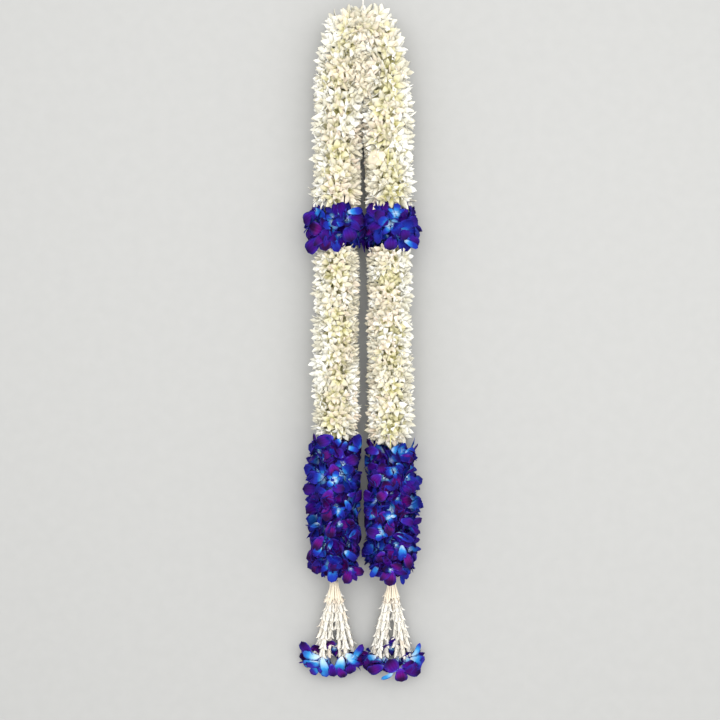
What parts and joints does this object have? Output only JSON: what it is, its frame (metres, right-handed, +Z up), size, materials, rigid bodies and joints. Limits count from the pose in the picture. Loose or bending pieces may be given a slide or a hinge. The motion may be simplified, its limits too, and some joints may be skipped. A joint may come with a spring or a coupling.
{
  "type": "tuberose and orchid garland",
  "caption": "Flower garland laid flat as a closed loop: white tuberose strand, bands and sleeves of blue orchids, and two tassels of bud strings with orchid ends.",
  "frame": {"origin": "centre of the garland's footprint, on the surface that it lies on", "axes": "+Y from the tassels to the crown of the loop, along both arms; +X across the arms, to the right seen from above; +Z up from the surface"},
  "size_m": [0.1653, 0.961, 0.066],
  "materials": {
    "tuberose_petal": "matt waxy petal",
    "orchid_petal": "satin waxy petal",
    "bud_petal": "matt waxy petal",
    "cotton": "matt twisted cotton",
    "hanging_cotton": "matt twisted cotton"
  },
  "bodies": {
    "root": {"bud_string_left_1": "bud_petal", "bud_string_left_2": "bud_petal", "bud_string_left_3": "bud_petal", "bud_string_left_4": "bud_petal", "bud_string_left_5": "bud_petal", "bud_string_left_6": "bud_petal", "bud_string_right_1": "bud_petal", "bud_string_right_2": "bud_petal", "bud_string_right_3": "bud_petal", "bud_string_right_4": "bud_petal", "bud_string_right_5": "bud_petal", "bud_string_right_6": "bud_petal", "garland_cord": "cotton", "hanging_thread": "hanging_cotton", "orchid_band_left_1": "orchid_petal", "orchid_band_left_2": "orchid_petal", "orchid_band_left_3": "orchid_petal", "orchid_band_left_4": "orchid_petal", "orchid_band_left_5": "orchid_petal", "orchid_band_left_6": "orchid_petal", "orchid_band_left_7": "orchid_petal", "orchid_band_right_1": "orchid_petal", "orchid_band_right_2": "orchid_petal", "orchid_band_right_3": "orchid_petal", "orchid_band_right_4": "orchid_petal", "orchid_band_right_5": "orchid_petal", "orchid_band_right_6": "orchid_petal", "orchid_band_right_7": "orchid_petal", "orchid_sleeve_left_1": "orchid_petal", "orchid_sleeve_left_2": "orchid_petal", "orchid_sleeve_left_3": "orchid_petal", "orchid_sleeve_left_4": "orchid_petal", "orchid_sleeve_left_5": "orchid_petal", "orchid_sleeve_left_6": "orchid_petal", "orchid_sleeve_right_1": "orchid_petal", "orchid_sleeve_right_2": "orchid_petal", "orchid_sleeve_right_3": "orchid_petal", "orchid_sleeve_right_4": "orchid_petal", "orchid_sleeve_right_5": "orchid_petal", "orchid_sleeve_right_6": "orchid_petal", "tassel_blooms_left": "orchid_petal", "tassel_blooms_right": "orchid_petal", "tassel_tie_left": "cotton", "tassel_tie_right": "cotton", "thread_knot": "hanging_cotton", "tuberose_lower_left": "tuberose_petal", "tuberose_lower_right": "tuberose_petal", "tuberose_upper_left": "tuberose_petal", "tuberose_upper_right": "tuberose_petal"}
  },
  "joints": []
}
